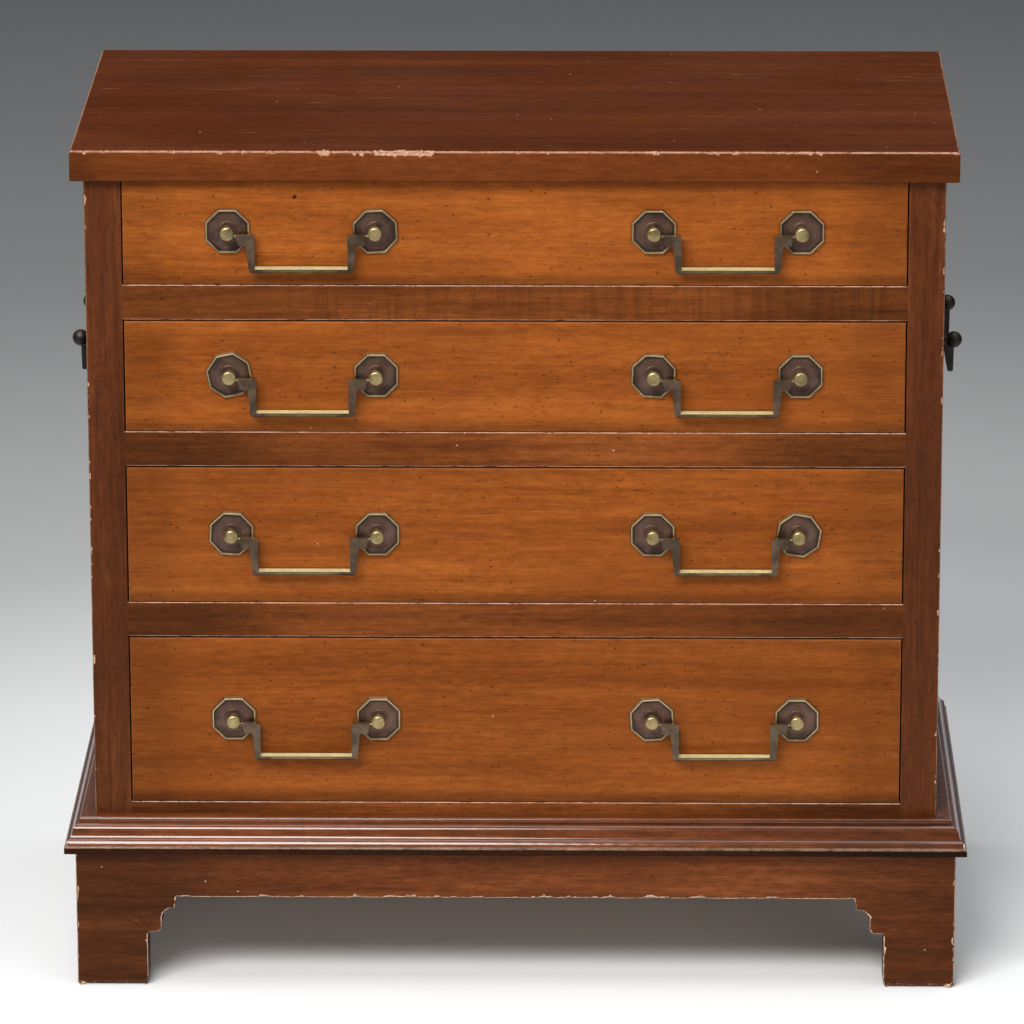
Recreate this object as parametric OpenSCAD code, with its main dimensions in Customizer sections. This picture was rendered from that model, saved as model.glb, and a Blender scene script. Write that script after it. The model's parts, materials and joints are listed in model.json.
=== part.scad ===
// Miniature chest of drawers: four graduated, inset drawers in a solid case on an ogee-moulded
// bracket base, with bail pulls on octagonal rosettes and a carrying handle on each side.
// Millimetres. The origin is under the middle of the chest, on the floor. The front faces -Y.

/* [Case] */
// Width of the case across the outer faces of its sides
case_w = 408; // [340:1:520]
// Depth of the case from the front edges of the sides to the back
case_d = 210; // [170:1:280]
// Thickness of the two side boards, which show at the front as stiles
side_t = 17.5; // [14:0.5:22]
// Thickness of the top slab
top_t = 15; // [10:0.5:22]
// How far the top slab stands out past the front and the sides
top_over = 6; // [2:0.5:12]
// Radius of the softened edges of the top slab
top_edge_r = 1.2; // [0.4:0.1:2.5]
// Height of each rail between two drawers
rail_h = 17.2; // [12:0.1:24]
// Depth of each rail, front to back
rail_d = 44; // [30:1:70]
// Height of the bottom rail above the bracket base
bottom_rail_h = 22.3; // [18:0.1:32]
// Thickness of the bottom board
bottom_board_t = 12; // [8:0.5:16]
// Thickness of the back panel
back_panel_t = 6; // [4:0.5:10]
// Width of each drawer runner
runner_w = 15; // [12:0.5:24]

/* [Drawers] */
// Height of the opening for drawer 1, at the top
opening_1_h = 51.7; // [46:0.1:90]
// Height of the opening for drawer 2
opening_2_h = 55.2; // [46:0.1:100]
// Height of the opening for drawer 3
opening_3_h = 68.2; // [46:0.1:110]
// Height of the opening for drawer 4, at the bottom
opening_4_h = 84; // [46:0.1:120]
// Thickness of the drawer fronts
front_t = 15; // [12:0.5:20]
// Thickness of the drawer sides and backs
drawer_board_t = 8; // [6:0.5:11]
// Thickness of the drawer bottoms
drawer_bottom_t = 4.5; // [3:0.5:6]
// Height of the drawer bottom's groove above the drawer's lower edge
groove_rise = 6; // [5:0.5:9]
// Gap beside a drawer, each side
drawer_side_gap = 0.6; // [0.3:0.1:1.5]
// Gap over a drawer
drawer_top_gap = 0.8; // [0.4:0.1:1.5]
// Gap under a drawer
drawer_under_gap = 0.3; // [0.1:0.1:0.6]

/* [Base] */
// Height of the bracket base
plinth_h = 69.2; // [55:0.1:95]
// How far the bracket base stands out past the case
plinth_over = 9.5; // [5:0.5:12]
// Thickness of the bracket base boards
plinth_t = 18; // [14:0.5:24]
// Height of the apron's lower edge above the floor
apron_rise = 45.6; // [38:0.1:60]
// Width of each bracket foot at the floor
foot_w = 34.5; // [24:0.5:48]
// Height of the base moulding
mould_h = 16.6; // [14:0.1:22]
// How far the base moulding stands out past the case
mould_over = 14.6; // [12:0.1:20]

/* [Pulls] */
// Distance between the two posts of a pull
post_spacing = 70; // [60:0.5:84]
// Distance from the end of a drawer front to the middle of its pull
pull_inset = 84.9; // [60:0.1:110]
// Height of a pull's posts above the middle of its drawer front
pull_rise = 1; // [-3:0.5:3]
// Width of an octagonal rosette across its flats
rosette_w = 22; // [16:0.5:28]
// Thickness of a rosette at its rim
rosette_t = 2.2; // [1.6:0.1:3]
// Diameter of the drum-shaped post heads
head_d = 6.8; // [6:0.1:9]
// Length of the drum-shaped post heads
head_l = 4.4; // [3.6:0.1:6]
// Diameter of a post's shank
shank_d = 4; // [3:0.1:5]
// Drop of a bail below its pivot
bail_drop = 17.8; // [14:0.1:22]
// Opening between the legs of a bail
bail_inner_w = 44; // [30:0.5:50]
// Diameter of a bail's pivot pins
pin_d = 1.7; // [1.2:0.1:2.2]
// Radial clearance of a pivot pin in its bore
pin_clearance = 0.08; // [0.03:0.01:0.1]

/* [Carrying handles] */
// Diameter of the ball heads on the side handles
ball_d = 8; // [7:0.1:10]
// Distance from the case side to the middle of a ball head
ball_reach = 8.2; // [7.6:0.1:10]

/* [Hidden] */
$fn = 48;
DRAWERS = ["drawer_1", "drawer_2", "drawer_3", "drawer_4"];
DRAWER_PARTS = [
    "front", "left_side", "right_side", "back", "bottom",
    "rosettes", "posts", "left_bail", "right_bail"
];
CASE_NODES = [
    "top_slab", "left_side", "right_side", "back_panel", "bottom_board", "rail_1", "rail_2",
    "rail_3", "bottom_rail", "runners", "drawer_stops", "back_screws", "front_moulding",
    "left_moulding", "right_moulding", "front_plinth", "left_plinth", "right_plinth",
    "back_plinth", "glue_blocks", "side_rosettes", "side_posts", "left_side_bail", "right_side_bail"
];

// Case levels, counted up from the floor
openings = [opening_1_h, opening_2_h, opening_3_h, opening_4_h];
function below(i) = i > 3 ? 0 : openings[i] + below(i + 1);
opening_z = [for (i = [0 : 3]) plinth_h + bottom_rail_h + below(i + 1) + (3 - i) * rail_h];
case_top = opening_z[0] + openings[0];
opening_w = case_w - 2 * side_t;
// The case front is at y = 0 while a piece is drawn, and the whole chest is then centred
centre_y = (mould_over - case_d) / 2;

// Case joinery
bottom_rail_d = front_t + 3;
joint_depth = 8;
tenon_shoulder = 3;
housing_depth = 3;
board_groove = 5;
rebate_w = 8;
panel_gap = 0.2;
stop_h = 3.2;
stop_w = 20;
stop_d = 9;
stop_gap = 0.05;
stop_spacing = 150;
block_margin = 1.5;
block_lift = 3;
short_block = [38, 10];
screw_d = 3;
screw_head_d = 5.6;
screw_l = 16;
screw_slot_w = 0.8;

// Drawer joinery
front_w = opening_w - 2 * drawer_side_gap;
front_lap = 4;
tail_flare = 1.6;
tail_root = 0.5;
tail_pitch = 17;
side_drop = 3;
groove_depth = 4;
bottom_slack = 0.3;
bottom_tuck = 1;
rear_gap = 8;
drawer_d = case_d - back_panel_t - rear_gap;
eps = 0.01;

// Pulls: depths are measured outward from the wood
head_y = 3.6;
head_round = 1.1;
neck_d = 4.6;
plate_t = 0.9;
rim_w = 0.5;
rim_slope = 0.8;
rim_step = 0.5;
dish_edge = 0.5;
boss_d = 10;
boss_h = 0.6;
pivot_y = head_y + head_l / 2 - 0.3;
pivot_drop = 1.5;
bail_t = 3.4;
bail_foot_t = 2.8;
arm_h = 4.9;
arm_top = 0.75;
arm_slant = 0.9;
arm_gap = 0.8;
leg_w = 4;
leg_taper = 1.1;
bar_h = 3.3;
bar_chamfer = 0.9;
bail_corner_r = 2;
bail_foot_bevel = 0.8;
pin_hold = 2.4;
pin_end_gap = 0.3;
nut_w = 7;
nut_t = 3;
washer_d = 10;
washer_t = 1;
shank_clearance = 0.05;
shank_tail = 1.5;
side_pivot_y = ball_reach - 1;
side_shank_l = side_t - 2;

WOOD = [0.55, 0.27, 0.13];
DARK_WOOD = [0.38, 0.16, 0.09];
PALE_WOOD = [0.66, 0.45, 0.26];
BRONZE = [0.3, 0.22, 0.19];
BRASS = [0.72, 0.6, 0.3];
STEEL = [0.45, 0.44, 0.42];

// ---- Helpers ----

// Puts a piece drawn with the case front at y = 0 into the chest's own frame
module in_case() {
    translate([0, centre_y, 0]) children();
}

// The points of an arc from p to q, which bulges to the right of the way from p to q by rise
function arc(p, q, rise, steps = 8) =
    let (chord = norm(q - p))
    let (r = (chord * chord / 4 + rise * rise) / (2 * abs(rise)))
    let (side = [q[1] - p[1], p[0] - q[0]] / chord * sign(rise))
    let (c = (p + q) / 2 - side * (r - abs(rise)))
    let (a0 = atan2(p[1] - c[1], p[0] - c[0]))
    let (a1 = atan2(q[1] - c[1], q[0] - c[0]))
    let (turn = (a1 - a0 + 540) % 360 - 180)
    [for (i = [0 : steps]) c + r * [cos(a0 + turn * i / steps), sin(a0 + turn * i / steps)]];

// A box from its lowest corner to its highest
module span(low, high) {
    translate(low) cube(high - low);
}

// Extrudes an outline drawn in X and Z along Y, from y0 to y1
module along_y(y0, y1) {
    translate([0, y1, 0]) rotate([90, 0, 0]) linear_extrude(y1 - y0) children();
}

// Extrudes an outline drawn in Y and Z along X, from x0 to x1
module along_x(x0, x1) {
    translate([x0, 0, 0]) rotate([90, 0, 90]) linear_extrude(x1 - x0) children();
}

// Draws the child and its mirror image across the middle of the chest
module both_sides() {
    children();
    mirror([1, 0, 0]) children();
}

// A plain cylinder along -Y, from the wood outward
module rod_out(d, y0, y1) {
    translate([0, -y0, 0]) rotate([90, 0, 0]) cylinder(d = d, h = y1 - y0);
}

// ---- Case ----

// The top slab, with its long edges and ends softened by quarter rounds
module top_slab() {
    w = case_w + 2 * top_over;
    r = top_edge_r;
    color(DARK_WOOD) in_case() difference() {
        span([-w / 2, -top_over, case_top], [w / 2, case_d, case_top + top_t]);
        for (z = [case_top, case_top + top_t]) {
            edge_round(r, [0, -top_over, z], w + 1, 0, z > case_top ? 1 : -1);
            both_sides()
                edge_round(r, [w / 2, 0, z], 2 * (case_d + top_over), 90, z > case_top ? 1 : -1);
        }
    }
}

// What a rounding plane removes from a straight edge that runs along X, or along Y at turn 90
module edge_round(r, at, length, turn, up) {
    translate(at) rotate([0, 0, turn]) difference() {
        span([-length / 2, -r, -r], [length / 2, r, r]);
        translate([-length / 2 - 1, r, -up * r]) rotate([0, 90, 0]) cylinder(r = r, h = length + 2);
        span([-length / 2 - 1, r - eps, -r - 1], [length / 2 + 1, r + 1, r + 1]);
    }
}

// The stub tenons of one rail, at both ends
module rail_tenons(z0, z1, y0, y1) {
    reach = opening_w / 2 + joint_depth;
    span([-reach, y0, z0], [reach, y1, z1]);
}

// A rail between two openings, with its stub tenons
module rail_solid(i) {
    z0 = opening_z[i] - rail_h;
    span([-opening_w / 2, 0, z0], [opening_w / 2, rail_d, z0 + rail_h]);
    rail_tenons(z0 + tenon_shoulder, z0 + rail_h - tenon_shoulder, joint_depth, rail_d - joint_depth);
}

module rail(i) {
    color(WOOD) in_case() rail_solid(i);
}

module bottom_rail_solid() {
    span([-opening_w / 2, 0, plinth_h], [opening_w / 2, bottom_rail_d, plinth_h + bottom_rail_h]);
    rail_tenons(
        plinth_h + tenon_shoulder, plinth_h + bottom_rail_h - tenon_shoulder,
        tenon_shoulder, bottom_rail_d - tenon_shoulder
    );
}

module bottom_rail() {
    color(WOOD) in_case() bottom_rail_solid();
}

// The bottom board, let into a groove in each side and level with the bottom rail
module bottom_board() {
    reach = opening_w / 2 + board_groove;
    top = plinth_h + bottom_rail_h;
    color(PALE_WOOD) in_case()
        span([-reach, bottom_rail_d, top - bottom_board_t], [reach, case_d - back_panel_t, top]);
}

// The runners that carry drawers 1 to 3, let into housings in the sides
module runner_solids(side_reach) {
    for (i = [0 : 2])
        span(
            [opening_w / 2 - runner_w, rail_d, opening_z[i] - rail_h],
            [opening_w / 2 + side_reach, case_d - back_panel_t, opening_z[i]]
        );
}

module runners() {
    color(PALE_WOOD) in_case() both_sides() runner_solids(housing_depth);
}

// Small blocks glued behind the fronts' line, which stop each drawer flush
module drawer_stops() {
    y0 = front_t + stop_gap;
    color(PALE_WOOD) in_case() both_sides()
        for (i = [0 : 3])
            span(
                [stop_spacing / 2, y0, opening_z[i]],
                [stop_spacing / 2 + stop_w, y0 + stop_d, opening_z[i] + stop_h]
            );
}

// The right-hand side board, cut for the rails, runners, bottom board, back and handle posts
module side_solid() {
    inner = opening_w / 2;
    board_top = plinth_h + bottom_rail_h;
    difference() {
        span([inner, 0, plinth_h], [case_w / 2, case_d, case_top]);
        for (i = [0 : 2]) rail_solid(i);
        bottom_rail_solid();
        runner_solids(housing_depth);
        span(
            [inner - 1, bottom_rail_d, board_top - bottom_board_t],
            [inner + board_groove, case_d - back_panel_t + eps, board_top]
        );
        span(
            [inner - 1, case_d - back_panel_t, plinth_h - 1],
            [inner + rebate_w, case_d + 1, case_top + 1]
        );
        back_screws_at() screw_solid(screw_d / 2);
        on_right_side() pull_posts_at() rod_out(shank_d + 2 * shank_clearance, -side_shank_l - 1, 1);
    }
}

module left_side() {
    color(DARK_WOOD) in_case() mirror([1, 0, 0]) side_solid();
}

module right_side() {
    color(DARK_WOOD) in_case() side_solid();
}

// The back panel, screwed into rebates in the sides
module back_panel() {
    reach = opening_w / 2 + rebate_w - panel_gap;
    color(PALE_WOOD) in_case() difference() {
        span([-reach, case_d - back_panel_t, plinth_h], [reach, case_d, case_top]);
        both_sides() back_screws_at() screw_solid(screw_d / 2);
    }
}

// The places of one column of back screws, on the right-hand side: level with the middle of each
// opening, where no runner or board meets the side
module back_screws_at() {
    for (i = [0 : 3])
        translate([opening_w / 2 + rebate_w / 2, case_d, opening_z[i] + openings[i] / 2]) children();
}

// A countersunk wood screw pointing in from the back
module screw_solid(shank_r) {
    head_h = screw_head_d / 2 - shank_r;
    rotate([90, 0, 0]) {
        cylinder(r = shank_r, h = screw_l);
        cylinder(r1 = screw_head_d / 2, r2 = shank_r, h = head_h);
    }
}

module back_screws() {
    color(STEEL) in_case() both_sides() back_screws_at() difference() {
        screw_solid(screw_d / 2);
        span([-screw_head_d, -screw_slot_w, -screw_slot_w / 2], [screw_head_d, 1, screw_slot_w / 2]);
    }
}

// ---- Base ----

// The section of the base moulding: a square nose with an eased top, a fillet, an ogee that is
// hollow below and full above, and a bead under the flat ledge
nose_h = mould_h * 0.17;
nose_ease = 0.9;
nose_round = 0.35;
ogee_low = [mould_over - 1.1, mould_h * 0.37];
ogee_high = [mould_over * 0.534, mould_h * 0.83];
ogee_mid = (ogee_low + ogee_high) / 2;
ogee_bulge = 0.7;
bead_in = 0.8;
bead_step = 0.4;
bead_top = ogee_high[0] - 2 * bead_in;
bead_bulge = 0.7;

module moulding_section() {
    polygon(concat(
        [[0, 0]],
        [[mould_over, 0]],
        arc([mould_over, nose_h], [mould_over - nose_ease, nose_h + nose_ease], nose_round, 4),
        [[ogee_low[0], nose_h + nose_ease]],
        arc(ogee_low, ogee_mid, -ogee_bulge),
        arc(ogee_mid, ogee_high, ogee_bulge),
        [[ogee_high[0] - bead_in, ogee_high[1]]],
        arc([ogee_high[0] - bead_in, ogee_high[1] + bead_step], [bead_top, mould_h], bead_bulge, 6),
        [[0, mould_h]]
    ));
}

// A mitred run round the front corner: the front piece in plan, out to a given overhang
module front_plan(over, inner) {
    x = case_w / 2;
    polygon([[-x - over, -over], [x + over, -over], [x - inner, inner], [-x + inner, inner]]);
}

module right_plan(over, inner) {
    x = case_w / 2;
    polygon([[x + over, -over], [x + over, case_d], [x - inner, case_d], [x - inner, inner]]);
}

module front_moulding() {
    color(DARK_WOOD) in_case() translate([0, 0, plinth_h]) intersection() {
        mirror([0, 1, 0]) along_x(-case_w, case_w) moulding_section();
        translate([0, 0, -1]) linear_extrude(mould_h + 2) front_plan(mould_over, 0);
    }
}

module side_moulding() {
    intersection() {
        translate([case_w / 2, 0, plinth_h]) along_y(-2 * mould_over, case_d) moulding_section();
        translate([0, 0, plinth_h - 1]) linear_extrude(mould_h + 2) right_plan(mould_over, 0);
    }
}

module left_moulding() {
    color(DARK_WOOD) in_case() mirror([1, 0, 0]) side_moulding();
}

module right_moulding() {
    color(DARK_WOOD) in_case() side_moulding();
}

// Half of a bracket board's lower outline, from the foot's inner edge up to the apron:
// a toe, a shelf with a small hollow, a quarter-round cove and a step up to the apron
toe_z = apron_rise * 0.575;
toe_round = 0.35;
shelf_w = 4.9;
shelf_z = apron_rise * 0.605;
shelf_hollow = 0.5;
shelf_step = 3;
neck_x = 6.9;
cove_z = apron_rise * 0.765;
cove_end = [13.2, apron_rise * 0.875];
cove_bulge = 1.7;
apron_x = 14.4;
apron_step = [0.6, 0.5];
apron_round = 0.3;

function bracket_points(edge) = concat(
    [[edge, 0]],
    arc([edge, toe_z], [edge + shelf_w / 4, shelf_z], -toe_round, 4),
    arc([edge + shelf_w, shelf_z], [edge + neck_x, shelf_z + shelf_step], shelf_hollow, 4),
    arc([edge + neck_x, cove_z], [edge + cove_end[0], cove_end[1]], -cove_bulge),
    arc(
        [edge + apron_x - apron_step[0], cove_end[1] + apron_step[1]],
        [edge + apron_x, apron_rise], -apron_round, 4
    )
);

// The whole cut-out between two feet whose inner edges are at x0 and x1
module bracket_cutout(x0, x1) {
    middle = (x0 + x1) / 2;
    half = bracket_points(x0 - middle);
    far = len(half) - 1;
    translate([middle, 0]) polygon(concat(
        [[x0 - middle, -1]], half, [for (i = [0 : far]) [-half[far - i][0], half[far - i][1]]],
        [[x1 - middle, -1]]
    ));
}

plinth_inner = plinth_t - plinth_over;
plinth_x = case_w / 2 + plinth_over;
back_plinth_t = plinth_t - 3;

module front_plinth() {
    color(DARK_WOOD) in_case() difference() {
        linear_extrude(plinth_h) front_plan(plinth_over, plinth_inner);
        along_y(-plinth_over - 1, plinth_inner + 1) bracket_cutout(-plinth_x + foot_w, plinth_x - foot_w);
    }
}

module side_plinth() {
    difference() {
        linear_extrude(plinth_h) right_plan(plinth_over, plinth_inner);
        along_x(case_w / 2 - plinth_inner - 1, plinth_x + 1)
            bracket_cutout(foot_w - plinth_over, case_d - foot_w);
    }
}

module left_plinth() {
    color(DARK_WOOD) in_case() mirror([1, 0, 0]) side_plinth();
}

module right_plinth() {
    color(DARK_WOOD) in_case() side_plinth();
}

// The back of the base: a plain board between the side pieces, with straight ramps to its feet
module back_plinth() {
    x = case_w / 2 - plinth_inner;
    foot = foot_w - plinth_t + apron_x;
    ramp = apron_rise / 2;
    color(PALE_WOOD) in_case() difference() {
        span([-x, case_d - back_plinth_t, 0], [x, case_d, plinth_h]);
        along_y(case_d - plinth_t, case_d + 1) polygon([
            [-x + foot, -1], [x - foot, -1], [x - foot, ramp], [x - foot - ramp, apron_rise],
            [-x + foot + ramp, apron_rise], [-x + foot, ramp]
        ]);
    }
}

// Triangular blocks glued behind each foot, and short ones under the case
module glue_blocks() {
    x = case_w / 2 - plinth_inner;
    back_y = case_d - back_plinth_t;
    leg = foot_w - plinth_t - block_margin;
    short_l = short_block[0];
    short_w = short_block[1];
    short_z = plinth_h - short_w;
    color(PALE_WOOD) in_case() both_sides() {
        translate([0, 0, block_lift]) linear_extrude(plinth_h - block_lift) {
            polygon([[x, plinth_inner], [x, plinth_inner + leg], [x - leg, plinth_inner]]);
            polygon([[x, back_y], [x, back_y - leg], [x - leg, back_y]]);
        }
        span([x - short_w, (case_d - short_l) / 2, short_z], [x, (case_d + short_l) / 2, plinth_h]);
        span(
            [stop_spacing / 2, plinth_inner, short_z],
            [stop_spacing / 2 + short_l, plinth_inner + short_w, plinth_h]
        );
    }
}

// ---- Pull hardware, drawn round the middle of a pull at its posts' height, on wood at y = 0 ----

// Moves its children to each of the two posts
module pull_posts_at() {
    for (x = [-post_spacing / 2, post_spacing / 2]) translate([x, 0, 0]) children();
}

// An octagon that narrows outward: four crossed prisms, each of which gives two opposite slopes
module octagon_frustum(w0, w1, h) {
    intersection_for(k = [0 : 3])
        rotate([0, 45 * k, 0]) translate([-w0, 0, 0]) rotate([90, 0, 90]) linear_extrude(2 * w0)
            polygon([[0, -w0 / 2], [0, w0 / 2], [-h, w1 / 2], [-h, -w1 / 2]]);
}

// An octagonal plate with a raised, bevelled rim, a round dish inside it, a low boss at the
// middle and a hole for the post
module rosette() {
    step_w = rosette_w - 2 * rim_slope - 2 * rim_w;
    dish_r = step_w / 2 - dish_edge;
    floor_y = rosette_t - rim_step;
    dish_depth = floor_y - plate_t;
    sphere_r = (dish_r * dish_r + dish_depth * dish_depth) / (2 * dish_depth);
    difference() {
        union() {
            difference() {
                octagon_frustum(rosette_w, rosette_w - 2 * rim_slope, rosette_t);
                translate([0, -floor_y, 0])
                    octagon_frustum(step_w - rim_step, step_w + rim_step, 2 * rim_step);
                translate([0, -plate_t - sphere_r, 0]) rotate([90, 0, 0]) sphere(r = sphere_r, $fn = 96);
            }
            rotate([90, 0, 0]) cylinder(d1 = boss_d + boss_h, d2 = boss_d - boss_h, h = plate_t + boss_h);
        }
        rod_out(shank_d + 2 * shank_clearance, -1, rosette_t + 1);
    }
}

// Half of the section of a drum head with rounded ends, turned about the post's axis
module drum_section() {
    r = head_d / 2;
    square([r - head_round, head_l]);
    translate([0, head_round]) square([r, head_l - 2 * head_round]);
    for (y = [head_round, head_l - head_round]) translate([r - head_round, y]) circle(r = head_round);
}

// The blind bore for a pivot pin, in the inner side of a head at x > 0
module pivot_bore(inner_x, y, drop) {
    bore_r = pin_d / 2 + pin_clearance;
    translate([inner_x - 2, -y, -drop]) rotate([0, 90, 0])
        cylinder(r = bore_r, h = pin_hold + pin_end_gap + 2);
}

// One post at x > 0: shank through the wood, neck, and a head bored for the bail's pin
module drum_post(wood_t) {
    x = post_spacing / 2;
    difference() {
        translate([x, 0, 0]) {
            post_shank(wood_t);
            rod_out(neck_d, plate_t + boss_h, head_y + eps);
            translate([0, -head_y, 0]) rotate([90, 0, 0]) rotate_extrude() drum_section();
        }
        pivot_bore(x - head_d / 2, pivot_y, pivot_drop);
    }
}

module post_shank(wood_t) {
    rod_out(shank_d, -wood_t - washer_t - nut_t - shank_tail, head_y);
}

// The washer and square nut that hold one post, behind the wood
module post_nut(wood_t) {
    bore_d = shank_d + 2 * shank_clearance;
    translate([post_spacing / 2, wood_t, 0]) difference() {
        union() {
            rod_out(washer_d, -washer_t, 0);
            span([-nut_w / 2, washer_t - eps, -nut_w / 2], [nut_w / 2, washer_t + nut_t, nut_w / 2]);
        }
        rod_out(bore_d, -washer_t - nut_t - 1, 1);
    }
}

// The outline of a bail, hanging from its pivot at z = 0: two arms, tapering legs and a bar
module bail_outline(arm_end) {
    inner = bail_inner_w / 2;
    leg_top = inner + leg_w;
    leg_foot = leg_top - leg_taper;
    r = bail_corner_r;
    foot = [leg_foot - r, -bail_drop];
    half = concat(
        [[inner, arm_top], [arm_end, arm_top], [arm_end - arm_slant, arm_top - arm_h]],
        [[leg_top, arm_top - arm_h]],
        arc([leg_foot, r - bail_drop], foot, -r * (1 - cos(45)), 5)
    );
    last = len(half) - 1;
    difference() {
        polygon(concat(half, [for (i = [0 : last]) [-half[last - i][0], half[last - i][1]]]));
        polygon([
            [-inner, arm_top + 1], [inner, arm_top + 1], [inner, bar_h - bail_drop],
            [-inner, bar_h - bail_drop]
        ]);
    }
}

// The section of a bail: thinner towards its foot, which is rounded underneath
module bail_section() {
    foot_r = bail_foot_t / 2;
    polygon([
        [-bail_t / 2, arm_top + 1], [bail_t / 2, arm_top + 1],
        [foot_r, bail_foot_bevel - bail_drop], [foot_r - bail_foot_bevel, -bail_drop - eps],
        [bail_foot_bevel - foot_r, -bail_drop - eps], [-foot_r, bail_foot_bevel - bail_drop]
    ]);
}

// A bail at its pivot's depth, with a pin at each end and a chamfer along its bar
module bail(reach, head_w) {
    inner = bail_inner_w / 2;
    arm_end = post_spacing / 2 - head_w / 2 - arm_gap;
    translate([0, -reach, -pivot_drop]) {
        difference() {
            intersection() {
                along_y(-bail_t, bail_t) bail_outline(arm_end);
                along_x(-post_spacing, post_spacing) bail_section();
            }
            translate([0, -bail_foot_t / 2, bar_h - bail_drop]) rotate([45, 0, 0])
                cube([2 * inner, 2 * bar_chamfer, 2 * bar_chamfer], center = true);
        }
        both_sides() translate([arm_end - 1, 0, 0]) rotate([0, 90, 0])
            cylinder(d = pin_d, h = 1 + arm_gap + pin_hold);
    }
}

// ---- Side handles ----

// Middle of the side handles: half way along the side, level with drawer 2
handle_z = opening_z[1] + openings[1] / 2;

// Turns a pull so that it sits on the right-hand side of the case
module on_right_side() {
    translate([case_w / 2, case_d / 2, handle_z]) rotate([0, 0, 90]) children();
}

module side_rosettes() {
    color(BRONZE) in_case() both_sides() on_right_side() pull_posts_at() rosette();
}

module side_posts() {
    color(BRONZE) in_case() both_sides() on_right_side() both_sides() side_post_solid();
}

// The ball posts screw into the side from outside, so that nothing stands in the drawers' way
module side_post_solid() {
    x = post_spacing / 2;
    difference() {
        translate([x, 0, 0]) {
            rod_out(shank_d, -side_shank_l, ball_reach);
            rod_out(neck_d, plate_t + boss_h, ball_reach);
            translate([0, -ball_reach, 0]) sphere(d = ball_d);
        }
        pivot_bore(x - ball_d / 2, side_pivot_y, pivot_drop);
    }
}

module right_side_bail() {
    color(BRONZE) in_case() on_right_side() bail(side_pivot_y, ball_d);
}

module left_side_bail() {
    color(BRONZE) in_case() mirror([1, 0, 0]) on_right_side() bail(side_pivot_y, ball_d);
}

// ---- Drawers ----

function drawer_z(i) = opening_z[i] + drawer_under_gap;
function front_h(i) = openings[i] - drawer_under_gap - drawer_top_gap;
function side_h(i) = front_h(i) - side_drop;
function pull_z(i) = drawer_z(i) + front_h(i) / 2 + pull_rise;
pull_x = front_w / 2 - pull_inset;
bottom_z = groove_rise + drawer_bottom_t;

// Dovetails between z0 and z1 that widen from y_neck to y_end
module tails(z0, z1, y_neck, y_end) {
    count = max(2, floor((z1 - z0) / tail_pitch));
    pitch = (z1 - z0) / count;
    neck = pitch / 2;
    root = y_neck + tail_root * sign(y_neck - y_end);
    for (k = [0 : count - 1]) {
        z = z0 + (k + 0.5) * pitch;
        polygon([
            [root, z - neck / 2], [root, z + neck / 2], [y_neck, z + neck / 2],
            [y_end, z + neck / 2 + tail_flare], [y_end, z - neck / 2 - tail_flare],
            [y_neck, z - neck / 2]
        ]);
    }
}

// The tails at the front end of a drawer side, which lap into the front from behind
module front_tails(i) {
    tails(0, side_h(i), front_t, front_lap);
}

// The pins of a drawer back are what is left between these tails
module back_tails(i) {
    tails(bottom_z, side_h(i), drawer_d - drawer_board_t, drawer_d);
}

module side_outline(i) {
    front_tails(i);
    difference() {
        translate([front_t, 0]) square([drawer_d - front_t, side_h(i)]);
        translate([drawer_d - drawer_board_t, bottom_z]) square([drawer_board_t + 1, side_h(i)]);
    }
    back_tails(i);
}

// A drawer bottom, or its groove, with a given slack; the bottom runs out under the back to y1
module bottom_solid(slack, y1) {
    reach = front_w / 2 - drawer_board_t + groove_depth - slack;
    span([-reach, front_t - groove_depth + slack, groove_rise], [reach, y1, bottom_z]);
}

module drawer_at(i) {
    in_case() translate([0, 0, drawer_z(i)]) children();
}

module pulls_at(i) {
    for (x = [-pull_x, pull_x]) translate([x, 0, pull_z(i) - drawer_z(i)]) children();
}

module drawer_front(i) {
    color(WOOD) drawer_at(i) difference() {
        span([-front_w / 2, 0, 0], [front_w / 2, front_t, front_h(i)]);
        both_sides() along_x(front_w / 2 - drawer_board_t, front_w / 2 + 1) front_tails(i);
        bottom_solid(0, drawer_d);
        pulls_at(i) pull_posts_at() rod_out(shank_d + 2 * shank_clearance, -front_t - 1, 1);
    }
}

module drawer_side_solid(i) {
    difference() {
        along_x(front_w / 2 - drawer_board_t, front_w / 2) side_outline(i);
        bottom_solid(0, drawer_d + 1);
    }
}

module drawer_left_side(i) {
    color(PALE_WOOD) drawer_at(i) mirror([1, 0, 0]) drawer_side_solid(i);
}

module drawer_right_side(i) {
    color(PALE_WOOD) drawer_at(i) drawer_side_solid(i);
}

module drawer_back(i) {
    color(PALE_WOOD) drawer_at(i) difference() {
        span([-front_w / 2, drawer_d - drawer_board_t, bottom_z], [front_w / 2, drawer_d, side_h(i)]);
        both_sides() along_x(front_w / 2 - drawer_board_t, front_w / 2 + 1) back_tails(i);
    }
}

module drawer_bottom(i) {
    color(PALE_WOOD) drawer_at(i) bottom_solid(bottom_slack, drawer_d - bottom_tuck);
}

module drawer_rosettes(i) {
    color(BRONZE) drawer_at(i) pulls_at(i) pull_posts_at() rosette();
}

module drawer_posts(i) {
    color(BRASS) drawer_at(i) pulls_at(i) both_sides() {
        drum_post(front_t);
        post_nut(front_t);
    }
}

module drawer_bail(i, x) {
    color(BRONZE) drawer_at(i) translate([x, 0, pull_z(i) - drawer_z(i)]) bail(pivot_y, head_d);
}

// ---- Output ----

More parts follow.
